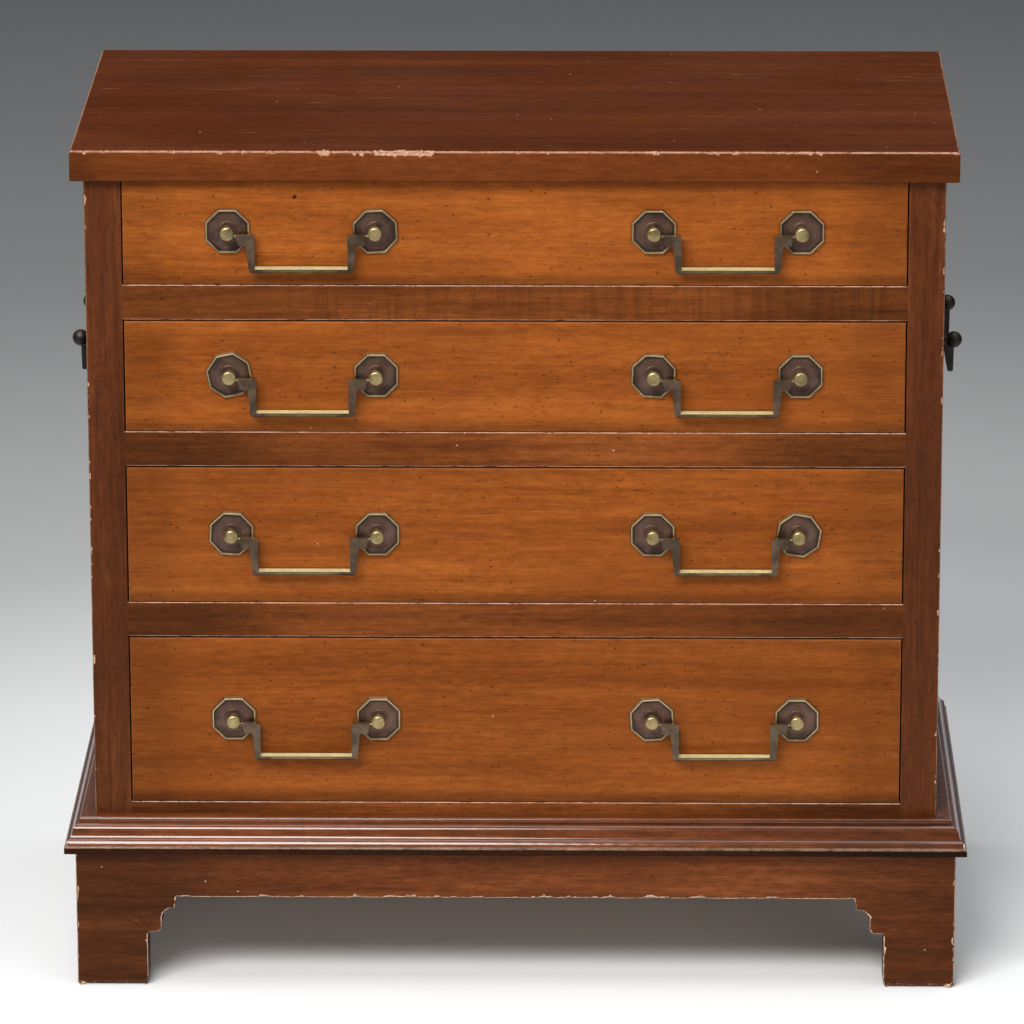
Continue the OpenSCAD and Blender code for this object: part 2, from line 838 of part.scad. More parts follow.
top_slab();
left_side();
right_side();
back_panel();
bottom_board();
rail(0);  // rail_1
rail(1);  // rail_2
rail(2);  // rail_3
bottom_rail();
runners();
drawer_stops();
back_screws();
front_moulding();
left_moulding();
right_moulding();
front_plinth();
left_plinth();
right_plinth();
back_plinth();
glue_blocks();
side_rosettes();
side_posts();
left_side_bail();
right_side_bail();
for (i = [0 : 3]) {
    name = DRAWERS[i];
    drawer_front(i);
    drawer_left_side(i);
    drawer_right_side(i);
    drawer_back(i);
    drawer_bottom(i);
    drawer_rosettes(i);
    drawer_posts(i);
    drawer_bail(i, -pull_x);
    drawer_bail(i, pull_x);
}
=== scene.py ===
import json
import math
import random

import bmesh
import bpy
from mathutils import Matrix, Vector, noise
from mathutils.kdtree import KDTree

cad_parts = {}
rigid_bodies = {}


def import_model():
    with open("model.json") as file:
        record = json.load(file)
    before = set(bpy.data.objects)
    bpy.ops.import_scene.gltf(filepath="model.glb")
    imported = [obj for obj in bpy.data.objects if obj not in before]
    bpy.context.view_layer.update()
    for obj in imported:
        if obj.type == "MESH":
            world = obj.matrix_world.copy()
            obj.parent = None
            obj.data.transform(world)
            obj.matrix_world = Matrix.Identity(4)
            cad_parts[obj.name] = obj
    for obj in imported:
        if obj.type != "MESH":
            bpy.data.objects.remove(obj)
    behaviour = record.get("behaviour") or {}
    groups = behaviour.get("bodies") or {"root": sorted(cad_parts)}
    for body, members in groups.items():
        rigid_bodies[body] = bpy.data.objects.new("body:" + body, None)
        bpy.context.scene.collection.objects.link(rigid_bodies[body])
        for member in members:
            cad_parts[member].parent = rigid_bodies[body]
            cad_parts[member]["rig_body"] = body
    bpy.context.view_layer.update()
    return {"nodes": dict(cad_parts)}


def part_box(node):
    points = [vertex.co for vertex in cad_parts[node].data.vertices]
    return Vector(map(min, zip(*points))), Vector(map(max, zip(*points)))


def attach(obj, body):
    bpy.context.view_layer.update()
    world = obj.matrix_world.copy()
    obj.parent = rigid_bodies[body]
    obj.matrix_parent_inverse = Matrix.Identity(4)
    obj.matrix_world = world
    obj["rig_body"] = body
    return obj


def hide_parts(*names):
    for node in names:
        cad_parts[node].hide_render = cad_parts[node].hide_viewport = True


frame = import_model()

MM = 0.001
DRAWERS = ["drawer_1", "drawer_2", "drawer_3", "drawer_4"]

# ---------------------------------------------------------------- sizes, all in metres

RIM_REACH = 5 * MM  # how far from an edge the "rim" value fades to nothing
GRADE = [0.35 * MM, 0.8 * MM, 1.5 * MM, 2.6 * MM, 4.5 * MM]  # cuts near an edge
SHARP = math.radians(28)
WORN_SHARP = math.radians(34)  # edges sharper than this stay sharp in a worn piece's shading
ROUND_REACH = 0.5 * MM  # how far from an edge its rounding goes
SHAPE_REACH = 2.2 * MM  # how far from an edge a piece's own shaping goes
WEAR_COARSE, WEAR_FINE = 160, 700  # the two scales of the wear's noise, per metre

CASE_LO, CASE_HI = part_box("left_side")[0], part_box("right_side")[1]
FRONT_Y = CASE_LO.y
SLAB_LO, SLAB_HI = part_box("top_slab")

# The stretch of the slab's front top edge that is knocked about most, left to right
SLAB_WORST = (-94 * MM, -36 * MM)
SLAB_WORST_FADE = 7 * MM


# ---------------------------------------------------------------- mesh helpers


def clean_copy(node):
    """A bmesh of a CAD node with its doubled points merged and its flat faces joined."""
    bm = bmesh.new()
    bm.from_mesh(frame["nodes"][node].data)
    bmesh.ops.remove_doubles(bm, verts=bm.verts, dist=0.002 * MM)
    bmesh.ops.dissolve_limit(
        bm, angle_limit=math.radians(0.6), verts=bm.verts, edges=bm.edges
    )
    return bm


def make_piece(name, bm, node, materials, sharp=SHARP):
    """The finished piece: it stands for its CAD node and rides on its body."""
    mesh = bpy.data.meshes.new(name)
    bm.to_mesh(mesh)
    bm.free()
    obj = bpy.data.objects.new(name, mesh)
    bpy.context.scene.collection.objects.link(obj)
    for material in materials:
        mesh.materials.append(material)
    mesh.shade_smooth()
    mesh.set_sharp_from_angle(angle=sharp)
    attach(obj, frame["nodes"][node]["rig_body"])
    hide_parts(node)
    return obj


def add_bevel(obj, width, segments=2, angle=28):
    bevel = obj.modifiers.new("arris", "BEVEL")
    bevel.width = width
    bevel.segments = segments
    bevel.limit_method = "ANGLE"
    bevel.angle_limit = math.radians(angle)
    bevel.harden_normals = True
    bevel.use_clamp_overlap = True
    return obj


def soften(node, material, width=0.3 * MM, segments=2):
    """A CAD node's copy with softened edges."""
    obj = make_piece("look_" + node, clean_copy(node), node, [material])
    return add_bevel(obj, width, segments)


def cuts_along(lo, hi, step, grade=GRADE):
    """Cutting places from lo to hi: close together near both ends, then evenly spaced."""
    near = [lo + g for g in grade] + [hi - g for g in grade]
    count = int((hi - lo - 2 * grade[-1]) / step) if step else 0
    even = [lo + grade[-1] + (k + 1) * step for k in range(count)]
    return [c for c in near + even if lo < c < hi]


def slice_up(bm, axis, places):
    """Cuts the mesh across one axis at each place, so that it has points to move there."""
    normal = Vector((0, 0, 0))
    normal[axis] = 1
    for place in places:
        point = Vector((0, 0, 0))
        point[axis] = place
        geom = bm.verts[:] + bm.edges[:] + bm.faces[:]
        bmesh.ops.bisect_plane(bm, geom=geom, plane_co=point, plane_no=normal, dist=0.01 * MM)


def edge_tree(bm, keep=None, pitch=0.5 * MM, sharp=SHARP):
    """A search tree of points along the mesh's sharp edges."""
    points = []
    for e in bm.edges:
        if len(e.link_faces) != 2 or e.calc_face_angle(0) < sharp:
            continue
        a, b = e.verts[0].co, e.verts[1].co
        if keep and not keep((a + b) / 2):
            continue
        count = max(1, int((b - a).length / pitch))
        points += [a.lerp(b, k / count) for k in range(count + 1)]
    tree = KDTree(max(1, len(points)))
    for k, p in enumerate(points):
        tree.insert(p, k)
    tree.balance()
    return tree


def fractal(p, scale, seed, octaves=3):
    """Rough noise from 0 to 1 at a point in metres."""
    q = Vector((p.x * scale + seed * 7.31, p.y * scale - seed * 3.17, p.z * scale + seed))
    return 0.5 + 0.5 * noise.fractal(q, 0.8, 2.0, octaves)


def weathered(
    node, materials, steps, seed, round_to=0.28 * MM, chip=0.9 * MM, amount=0.62,
    keep=None, extra=None, shape=None, grades=(GRADE, GRADE, GRADE), sharp=SHARP,
):
    """A CAD node's copy, cut fine near its edges, with its arrises worn and chipped inward. The
    values "rim" (1 at an edge) and "chip" (1 in the middle of a chip) go to the shader. No
    point leaves the CAD node's box."""
    bm = clean_copy(node)
    lo = Vector([min(v.co[k] for v in bm.verts) for k in range(3)])
    hi = Vector([max(v.co[k] for v in bm.verts) for k in range(3)])
    tree = edge_tree(bm, keep, sharp=sharp)
    for axis in sorted(range(3), key=lambda k: lo[k] - hi[k]):
        slice_up(bm, axis, cuts_along(lo[axis], hi[axis], steps[axis], grades[axis]))
    rim = bm.verts.layers.float.new("rim")
    hurt = bm.verts.layers.float.new("chip")
    bm.normal_update()
    moves = []
    for v in bm.verts:
        near, _, d = tree.find(v.co)
        if near is None or d > RIM_REACH:
            continue
        v[rim] = 1 - d / RIM_REACH
        rough = fractal(near, WEAR_COARSE, seed) * 0.6 + fractal(near, WEAR_FINE, seed + 3) * 0.4
        damage = max(0.0, rough - amount) / (1 - amount)
        depth = chip * min(1.0, 2.2 * damage)
        if extra:
            depth = max(depth, extra(near) * (0.45 + 1.1 * fractal(v.co, 420, seed + 9)))
        reach = 0.25 * MM + depth * 1.15
        fall = max(0.0, 1 - d / reach)
        push = round_to * max(0.0, 1 - d / ROUND_REACH) + depth * fall
        if shape:
            push += shape(near) * max(0.0, 1 - d / SHAPE_REACH)
        if push > 0:
            moves.append((v, -v.normal * push))
        v[hurt] = max(0.0, min(1.0, 1.6 * depth / MM * max(0.0, 1 - d / (reach * 1.25))))
    for v, move in moves:
        v.co += move
    for v in bm.verts:
        for k in range(3):
            v.co[k] = min(max(v.co[k], lo[k]), hi[k])
    return make_piece("look_" + node, bm, node, materials, WORN_SHARP)


# ---------------------------------------------------------------- shader helpers


class Tree:
    """A short way to write a material's nodes."""

    def __init__(self, name):
        self.material = bpy.data.materials.new(name)
        self.material.use_nodes = True
        self.tree = self.material.node_tree
        self.tree.nodes.clear()
        self.out = self.tree.nodes.new("ShaderNodeOutputMaterial")
        self.shader = self.tree.nodes.new("ShaderNodeBsdfPrincipled")
        self.tree.links.new(self.shader.outputs[0], self.out.inputs["Surface"])

    def put(self, value, socket):
        if isinstance(value, bpy.types.NodeSocket):
            self.tree.links.new(value, socket)
        else:
            socket.default_value = value

    def place(self):
        """The piece's own place, in metres."""
        return self.tree.nodes.new("ShaderNodeTexCoord").outputs["Object"]

    def axis(self, index):
        node = self.tree.nodes.new("ShaderNodeSeparateXYZ")
        self.tree.links.new(self.place(), node.inputs[0])
        return node.outputs[index]

    def value_of(self, name):
        node = self.tree.nodes.new("ShaderNodeAttribute")
        node.attribute_name = name
        return node.outputs["Fac"]

    def scaled(self, scale, shift=(0, 0, 0)):
        node = self.tree.nodes.new("ShaderNodeMapping")
        self.tree.links.new(self.place(), node.inputs["Vector"])
        node.inputs["Scale"].default_value = scale
        node.inputs["Location"].default_value = shift
        return node.outputs[0]

    def noise(self, vector, detail=3.0, rough=0.55, bend=0.0):
        node = self.tree.nodes.new("ShaderNodeTexNoise")
        self.tree.links.new(vector, node.inputs["Vector"])
        node.inputs["Scale"].default_value = 1.0
        node.inputs["Detail"].default_value = detail
        node.inputs["Roughness"].default_value = rough
        node.inputs["Distortion"].default_value = bend
        return node.outputs["Fac"]

    def cells(self, vector):
        """Distance to the nearest of scattered points, and that point's random number."""
        node = self.tree.nodes.new("ShaderNodeTexVoronoi")
        self.tree.links.new(vector, node.inputs["Vector"])
        node.inputs["Scale"].default_value = 1.0
        node.inputs["Randomness"].default_value = 1.0
        pick = self.tree.nodes.new("ShaderNodeSeparateColor")
        self.tree.links.new(node.outputs["Color"], pick.inputs[0])
        return node.outputs["Distance"], pick.outputs[0]

    def math(self, kind, a, b=0.0, clamp=False):
        node = self.tree.nodes.new("ShaderNodeMath")
        node.operation = kind
        node.use_clamp = clamp
        self.put(a, node.inputs[0])
        self.put(b, node.inputs[1])
        return node.outputs[0]

    def add(self, a, b, clamp=False):
        return self.math("ADD", a, b, clamp)

    def mul(self, a, b, clamp=False):
        return self.math("MULTIPLY", a, b, clamp)

    def most(self, a, b):
        return self.math("MAXIMUM", a, b)

    def sway(self, noise_value, amount):
        """A noise turned into a value that goes both ways round zero."""
        return self.mul(self.math("SUBTRACT", noise_value, 0.5), amount)

    def fit(self, value, a, b, low=0.0, high=1.0, smooth=True):
        """Maps a..b to low..high, held at both ends."""
        node = self.tree.nodes.new("ShaderNodeMapRange")
        node.interpolation_type = "SMOOTHSTEP" if smooth else "LINEAR"
        node.clamp = True
        self.put(value, node.inputs["Value"])
        for name, number in (("From Min", a), ("From Max", b), ("To Min", low), ("To Max", high)):
            self.put(number, node.inputs[name])
        return node.outputs["Result"]

    def mix(self, share, a, b, kind="MIX"):
        node = self.tree.nodes.new("ShaderNodeMix")
        node.data_type = "RGBA"
        node.blend_type = kind
        self.put(share, node.inputs["Factor"])
        for value, socket in ((a, node.inputs["A"]), (b, node.inputs["B"])):
            spot = [s for s in node.inputs if s.name == socket.name and s.type == "RGBA"][0]
            self.put(value if isinstance(value, bpy.types.NodeSocket) else (*value, 1), spot)
        return [s for s in node.outputs if s.type == "RGBA"][0]

    def ramp(self, value, stops):
        node = self.tree.nodes.new("ShaderNodeValToRGB")
        points = node.color_ramp.elements
        while len(points) < len(stops):
            points.new(0.5)
        for point, (at, colour) in zip(points, stops):
            point.position = at
            point.color = (*colour, 1)
        self.tree.links.new(value, node.inputs[0])
        return node.outputs["Color"]

    def bump(self, heights):
        """One bump after another: pairs of a height and its depth in metres."""
        normal = None
        for height, depth in heights:
            node = self.tree.nodes.new("ShaderNodeBump")
            node.inputs["Strength"].default_value = 1.0
            node.inputs["Distance"].default_value = depth
            self.put(height, node.inputs["Height"])
            if normal:
                self.tree.links.new(normal, node.inputs["Normal"])
            normal = node.outputs[0]
        self.tree.links.new(normal, self.shader.inputs["Normal"])

    def set(self, **values):
        for name, value in values.items():
            self.put(value, self.shader.inputs[name.replace("_", " ")])
        return self.material


def times(colour, factor):
    return tuple(c * factor for c in colour)


def along(grain, across, length):
    """Scales that are fine across the grain and long along it."""
    return tuple(length if k == grain else across for k in range(3))


# How much each layer of noise counts in the wood's figure, and how far either side of its middle
# the figure runs from the darkest colour to the lightest
FIGURE_SHARE, FIBRE_SHARE, MOTTLE_SHARE = 0.40, 0.20, 0.26
FIGURE_SPAN = 0.20
NICK_COLOUR = (0.62, 0.42, 0.30)
SCRATCH_COLOUR = (0.45, 0.28, 0.19)
SHINE_TINT = (1.0, 0.72, 0.52, 1)  # the warm shine of old polish
COAT_ROUGHNESS, COAT_IOR = 0.075, 1.5
# Each family of scratches: its turn in radians, and how short its lines are
SCRATCHES = ((0.5, 5.0), (1.9, 6.0), (2.7, 4.0))


def wood_figure(t, grain, dark, mid, light, shift, figure, streaky):
    """The wood's colour before any mark, and the layers of noise that the marks use again."""
    bands = t.noise(t.scaled(along(grain, 42, 3.2), shift), 3, 0.55, 0.9)
    streaks = t.noise(t.scaled(along(grain, 230, 7.5), shift), 3, 0.6, 0.35)
    fibre = t.noise(t.scaled(along(grain, 1250, 42), shift), 2, 0.6, 0.1)
    cloud = t.noise(t.scaled((9, 9, 9), shift), 2, 0.5, 0.4)
    mottle = t.noise(t.scaled(along(grain, 420, 130), shift), 3, 0.65, 0.5)
    mixed = t.add(t.mul(bands, FIGURE_SHARE * figure), t.mul(streaks, streaky))
    mixed = t.add(mixed, t.mul(fibre, FIBRE_SHARE))
    mixed = t.add(mixed, t.mul(mottle, MOTTLE_SHARE))
    middle = 0.5 * (FIGURE_SHARE * figure + streaky + FIBRE_SHARE + MOTTLE_SHARE)
    colour = t.ramp(
        t.fit(mixed, middle - FIGURE_SPAN, middle + FIGURE_SPAN, smooth=False),
        [(0.0, times(dark, 0.75)), (0.28, dark), (0.55, mid), (0.80, light),
         (1.0, times(light, 1.12))],
    )
    colour = t.mix(t.fit(cloud, 0.30, 0.75, 0.0, 0.40), colour, times(dark, 0.85))
    return colour, streaks, fibre, cloud, mottle


def scratch_marks(t, shift):
    """Fine scratches, each a thin line of a stretched, turned noise."""
    marks = []
    for turn, stretch in SCRATCHES:
        node = t.tree.nodes.new("ShaderNodeMapping")
        t.tree.links.new(t.place(), node.inputs["Vector"])
        node.inputs["Rotation"].default_value = (0, 0, turn)
        node.inputs["Scale"].default_value = (stretch, 150, 150)
        lines = t.noise(node.outputs[0], 1, 0.5)
        thin = t.fit(t.math("ABSOLUTE", t.math("SUBTRACT", lines, 0.5)), 0.006, 0.0)
        where = t.noise(t.scaled((16, 16, 16), tuple(s + turn for s in shift)), 2, 0.5)
        marks.append(t.mul(thin, t.fit(where, 0.60, 0.68)))
    return t.most(t.most(marks[0], marks[1]), marks[2])


def wood(name, grain, dark, mid, light, seed, shades=(), wear=0.5, fleck=0.5, pale=0.3,
         cross=None, coat=0.0, sheen=0.16, chip_colour=(0.62, 0.36, 0.22), figure=1.0,
         scratch=0.0, streaky=0.34, thread=1.0, coat_from=None):
    """Old polished wood: banded figure, fine grain, pores and flecks, worn edges and chips.
    shades are (axis, from, to, colour factor): the wood goes to that factor along that axis.
    cross is (from, to, axis): dark streaks across the grain over that stretch. thread is the
    strength of the thin rubbed line on the arrises, and coat_from the height that polish
    starts at."""
    t = Tree(name)
    rnd = random.Random(seed)
    shift = tuple(rnd.uniform(-4, 4) for _ in range(3))
    colour, streaks, fibre, cloud, mottle = wood_figure(
        t, grain, dark, mid, light, shift, figure, streaky)
    # Pores: short dark dashes with the grain
    pores = t.noise(t.scaled(along(grain, 1700, 260), shift), 1, 0.5)
    pore_share = t.noise(t.scaled(along(grain, 60, 20), shift), 2, 0.5)
    pore = t.mul(t.fit(pores, 0.63, 0.72), t.fit(pore_share, 0.35, 0.65, 0.35, 1.0))
    colour = t.mix(t.mul(pore, 0.40), colour, times(dark, 0.30))
    # Fly specks and dark flecks, of uneven size
    far, pick = t.cells(t.scaled(along(grain, 380, 300), shift))
    crowd = t.noise(t.scaled(along(grain, 70, 30), shift), 2, 0.6)
    fleck_on = t.math("GREATER_THAN", t.add(pick, t.mul(crowd, 0.9)), 1.64 - 0.42 * fleck)
    far = t.add(far, t.sway(mottle, 0.20))
    flecks = t.mul(t.fit(far, 0.20, 0.10), fleck_on)
    colour = t.mix(t.mul(flecks, 0.8), colour, times(dark, 0.16))
    # Tiny pale nicks
    far, pick = t.cells(t.scaled(along(grain, 170, 120), tuple(s + 9 for s in shift)))
    nick_on = t.math("GREATER_THAN", pick, 1 - 0.06 * pale)
    far = t.add(far, t.sway(mottle, 0.12))
    nicks = t.mul(t.fit(far, 0.075, 0.035), nick_on)
    colour = t.mix(t.mul(nicks, 0.75), colour, NICK_COLOUR)
    if cross:
        at, until, other = cross
        smear = t.noise(t.scaled(along(other, 330, 12), shift), 3, 0.6, 0.2)
        zone = t.mul(t.fit(t.axis(grain), at - 4 * MM, at + 6 * MM),
                     t.fit(t.axis(grain), until + 20 * MM, until))
        smear_share = t.mul(t.fit(smear, 0.40, 0.72, 0.0, 0.5), zone)
        colour = t.mix(smear_share, colour, times(dark, 0.8))
    for axis, start, end, factor in shades:
        shade = t.fit(t.axis(axis), start, end)
        ragged = t.fit(t.add(shade, t.sway(streaks, 0.5)), 0.1, 0.9)
        colour = t.mix(ragged, colour, (factor,) * 3, "MULTIPLY")
    # Edge wear: a thin rubbed line, ragged paler patches and raw chips
    rim = t.value_of("rim")
    chip = t.value_of("chip")
    grit = t.noise(t.scaled((620, 620, 620), shift), 3, 0.65)
    runs = t.noise(t.scaled((85, 85, 85), shift), 3, 0.6)
    line = t.mul(t.fit(rim, 0.885, 0.955),
                 t.fit(t.add(grit, runs), 0.70, 1.15, 0.25 * thread, thread))
    patch = t.mul(t.fit(t.add(rim, t.mul(grit, 0.45)), 1.12, 1.26), t.fit(runs, 0.55, 0.70))
    worn = t.mul(t.most(line, patch), wear, clamp=True)
    colour = t.mix(worn, colour, times(chip_colour, 0.85))
    raw = t.fit(t.add(chip, t.sway(grit, 0.8)), 0.38, 0.56)
    raw_colour = t.mix(t.fit(grit, 0.35, 0.7), times(chip_colour, 0.55), chip_colour)
    colour = t.mix(raw, colour, raw_colour)
    heights = [(fibre, 0.05 * MM), (t.math("SUBTRACT", 1.0, pore), 0.06 * MM),
               (t.math("SUBTRACT", 1.0, nicks), 0.15 * MM), (cloud, 0.6 * MM)]
    if scratch:
        marks = scratch_marks(t, shift)
        colour = t.mix(t.mul(marks, 0.30 * scratch), colour, SCRATCH_COLOUR)
        heights.append((t.math("SUBTRACT", 1.0, marks), 0.04 * MM))
    t.bump(heights)
    rough = t.add(t.fit(cloud, 0.3, 0.7, 0.38, 0.52), t.mul(t.most(raw, pore), 0.25), clamp=True)
    polish = t.mul(coat, t.math("SUBTRACT", 1.0, raw, clamp=True))
    if coat_from:
        reached = t.fit(t.axis(2), coat_from, coat_from + 0.5 * MM, 0.08, 1.0)
        polish = t.mul(polish, reached)
    t.set(Specular_IOR_Level=sheen, Specular_Tint=SHINE_TINT, Coat_Roughness=COAT_ROUGHNESS,
          Coat_IOR=COAT_IOR)
    return t.set(Base_Color=colour, Roughness=rough, Coat_Weight=polish)


def plain_wood(name, grain, dark, mid, light, seed):
    """Unpolished inside wood, duller and with fewer marks."""
    return wood(name, grain, dark, mid, light, seed, wear=0.2, fleck=0.15, pale=0.1, sheen=0.1,
                chip_colour=(0.55, 0.38, 0.22))


def lit_tops_and_rub(t, cloud, rub, lit_tops):
    """Faces that look up get a painted highlight, and the middle of a bail's bar is rubbed bright.
    """
    face = t.tree.nodes.new("ShaderNodeSeparateXYZ")
    normal = t.tree.nodes.new("ShaderNodeTexCoord").outputs["Normal"]
    t.tree.links.new(normal, face.inputs[0])
    up = t.mul(t.fit(face.outputs[2], 0.35, 0.75), lit_tops)
    hand = t.add(t.value_of("rub"), t.sway(cloud, 0.9))
    return t.most(up, t.fit(hand, 0.35, 1.0, 0.0, rub))


def metal(name, body, rubbed, seed, shine=0.35, rub=0.4, rings=None, lit_tops=0.0):
    """Old cast brass: a patina that is rubbed through on edges, with pits and fine scratches.
    rings are (from, full, strength) of rubbed rings, in shares of a rosette's half width.
    The last argument paints faces that look up bright, a painted highlight; where it is set,
    the bar's middle is rubbed instead of the edges."""
    t = Tree(name)
    rnd = random.Random(seed)
    shift = tuple(rnd.uniform(-4, 4) for _ in range(3))
    cloud = t.noise(t.scaled((140, 140, 140), shift), 4, 0.62)
    grit = t.noise(t.scaled((900, 900, 900), shift), 3, 0.6)
    colour = t.mix(t.fit(cloud, 0.30, 0.70), times(body, 0.62), times(body, 1.35))
    # Faces that look up are painted bright: a painted highlight, as from the lamps above
    if lit_tops:
        rub_and_highlight_share = lit_tops_and_rub(t, cloud, rub, lit_tops)
    else:
        rubbing = t.add(t.value_of("rim"), t.sway(cloud, 0.9))
        rub_and_highlight_share = t.mul(t.fit(rubbing, 0.70, 1.0), rub, clamp=True)
    if rings:
        radius = t.value_of("radius")
        for start, full, share in rings:
            step = t.add(radius, t.sway(cloud, 0.03))
            rub_and_highlight_share = t.most(rub_and_highlight_share, t.mul(t.fit(step, start, full), share))
        # A dark groove inside the rim, and a paler ring round the post
        groove = t.mul(t.fit(radius, 0.72, 0.82), t.fit(radius, 0.895, 0.87))
        colour = t.mix(t.mul(groove, 0.7), colour, times(body, 0.30))
        glow = t.mul(t.fit(radius, 0.30, 0.46), t.fit(radius, 0.70, 0.50))
        colour = t.mix(t.mul(glow, 0.35), colour, times(body, 1.9))
    bright = t.mix(t.fit(grit, 0.35, 0.65), times(rubbed, 0.8), rubbed)
    colour = t.mix(rub_and_highlight_share, colour, bright)
    rough = t.add(t.fit(cloud, 0.3, 0.7, shine, shine + 0.16), t.mul(grit, 0.08))
    t.bump([(cloud, 0.10 * MM), (grit, 0.03 * MM)])
    metallic = t.fit(rub_and_highlight_share, 0.0, 0.5, 0.82, 1.0)
    return t.set(Base_Color=colour, Metallic=metallic, Roughness=rough)


# ---------------------------------------------------------------- wood colours
# Linear, each from its darkest figure to its lightest

TOP = ((0.054, 0.0110, 0.0020), (0.084, 0.0185, 0.0034), (0.120, 0.0290, 0.0060))
SLAB_FACE = ((0.088, 0.0200, 0.0040), (0.140, 0.0340, 0.0070), (0.195, 0.0520, 0.0120))
SLAB_CHIP = (0.50, 0.28, 0.185)
CASE = ((0.058, 0.0145, 0.0045), (0.096, 0.0250, 0.0076), (0.145, 0.0410, 0.0125))
FRONT = ((0.205, 0.0490, 0.0068), (0.312, 0.0800, 0.0115), (0.415, 0.1180, 0.0195))
RAIL = ((0.085, 0.0205, 0.0042), (0.160, 0.0410, 0.0075), (0.235, 0.0650, 0.0140))
BASE = ((0.060, 0.0150, 0.0038), (0.118, 0.0300, 0.0078), (0.198, 0.0560, 0.0160))
INSIDE = ((0.27, 0.140, 0.062), (0.41, 0.235, 0.115), (0.52, 0.325, 0.170))
# Each drawer front's share of FRONT's brightness
FACE_TONE = {"drawer_1": 0.89, "drawer_2": 0.86, "drawer_3": 0.83, "drawer_4": 0.70}

# ---------------------------------------------------------------- the case


def slab_chips(p):
    """How deep the slab's front top edge is chipped at a point on it."""
    if p.y > SLAB_LO.y + 3 * MM or p.z < SLAB_HI.z - 3 * MM:
        return 0.0
    ragged = 0.72 * fractal(p, 150, 21, 4) + 0.28 * fractal(p, 430, 24, 3)
    ends = min(p.x - SLAB_WORST[0], SLAB_WORST[1] - p.x) / SLAB_WORST_FADE
    worst = max(0.0, min(1.0, 0.5 + ends))
    start = 0.575 - 0.17 * worst
    return (0.8 + 0.55 * worst) * MM * max(0.0, min(1.0, (ragged - start) / 0.13))


def upper_arris(p):
    """True on the slab's top edges, where its sides turn over into its top."""
    return SLAB_HI.z - 0.55 * MM < p.z < SLAB_HI.z - 0.15 * MM


slab_top = wood("slab_top_wood", 0, *TOP, seed=3, wear=1.0, fleck=0.15, pale=2.2, sheen=0.04,
                chip_colour=SLAB_CHIP, scratch=0.55, streaky=0.14, figure=0.8, thread=0.85)
# The slab's face darkens towards its right end, painted shade for light falling from the left, and
# darkens at its left corner
slab_face = wood("slab_face_wood", 0, *SLAB_FACE, seed=4, wear=1.0, fleck=0.3, pale=0.5,
                 sheen=0.12, chip_colour=SLAB_CHIP, streaky=0.18, figure=0.8, thread=0.85,
                 shades=[(0, 0.09, 0.20, 0.66), (0, -0.185, -0.21, 0.75)])
slab = weathered("top_slab", [slab_top, slab_face], (0.9 * MM, 6 * MM, 0), 5,
                 round_to=0.3 * MM, chip=0.5 * MM, amount=0.68, extra=slab_chips,
                 sharp=math.radians(4), keep=upper_arris)
for face in slab.data.polygons:
    faces_up = face.normal.z > 0.75
    face.material_index = 0 if faces_up else 1

side_wood = wood("side_wood", 2, *CASE, seed=11, wear=0.75, fleck=0.3, pale=0.5,
                 shades=[(2, 0.34, 0.24, 0.80)], streaky=0.28, thread=0.6)
for name in ("left_side", "right_side"):
    weathered(name, [side_wood], (0, 12 * MM, 1.6 * MM), 7 + len(name), chip=1.0 * MM,
              amount=0.55, grades=(GRADE[:4], GRADE[:4], GRADE[:3]),
              keep=lambda p: abs(p.x) > CASE_HI.x - 1 * MM)

RAIL_CROSS = {"rail_1": (-0.107, CASE_HI.x, 2)}
for k, name in enumerate(("rail_1", "rail_2", "rail_3", "bottom_rail")):
    rail_wood = wood(name + "_wood", 0, *RAIL, seed=20 + k, wear=1.0, fleck=0.5, pale=0.8,
                     chip_colour=(0.70, 0.40, 0.27), thread=1.0, streaky=0.26,
                     cross=RAIL_CROSS.get(name),
                     shades=[(0, -0.07, -0.18, 0.78 if k == 0 else 0.44), (0, 0.05, 0.18, 0.50)])
    weathered(name, [rail_wood], (1.6 * MM, 0, 0), 30 + k, chip=0.55 * MM, amount=0.56,
              keep=lambda p: p.y < FRONT_Y + 1 * MM and abs(p.x) < CASE_HI.x - 18 * MM,
              grades=(GRADE[:2], GRADE[:4], GRADE[:4]))

# ---------------------------------------------------------------- the base

base_wood = wood("base_wood", 0, *BASE, seed=41, wear=1.0, fleck=0.35, pale=2.4, streaky=0.22,
                 chip_colour=(0.66, 0.46, 0.31),
                 shades=[(0, -0.10, -0.20, 0.54), (0, 0.10, 0.20, 0.66)])
base_side_wood = wood("base_side_wood", 1, *BASE, seed=43, wear=0.9, fleck=0.35, pale=0.4)
MOULD_LO, MOULD_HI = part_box("front_moulding")
NOSE_TOP = MOULD_LO.z + 0.17 * (MOULD_HI.z - MOULD_LO.z)
# The moulding's vertical nose, below its lowest round, is painted dark: painted shade under the
# round, and dark old polish
NOSE_SHADE_AND_POLISH = [(2, NOSE_TOP + 1.4 * MM, NOSE_TOP + 0.4 * MM, 0.15)]
mould_wood = wood("mould_wood", 0, *BASE, seed=45, wear=0.5, fleck=0.3, pale=0.5, coat=1.0,
                  streaky=0.18, thread=0.6, sheen=0.06, coat_from=NOSE_TOP + 0.2 * MM,
                  shades=[*NOSE_SHADE_AND_POLISH, (0, 0.10, 0.20, 0.75)])
mould_side_wood = wood("mould_side_wood", 1, *BASE, seed=47, wear=0.5, fleck=0.3, pale=0.4,
                       coat=1.0, sheen=0.06, coat_from=NOSE_TOP + 0.2 * MM, shades=NOSE_SHADE_AND_POLISH)


def nose_edge(p):
    """True on the moulding's lowest arris, the only one that wears."""
    return NOSE_TOP - 0.3 * MM < p.z < NOSE_TOP + 1.3 * MM


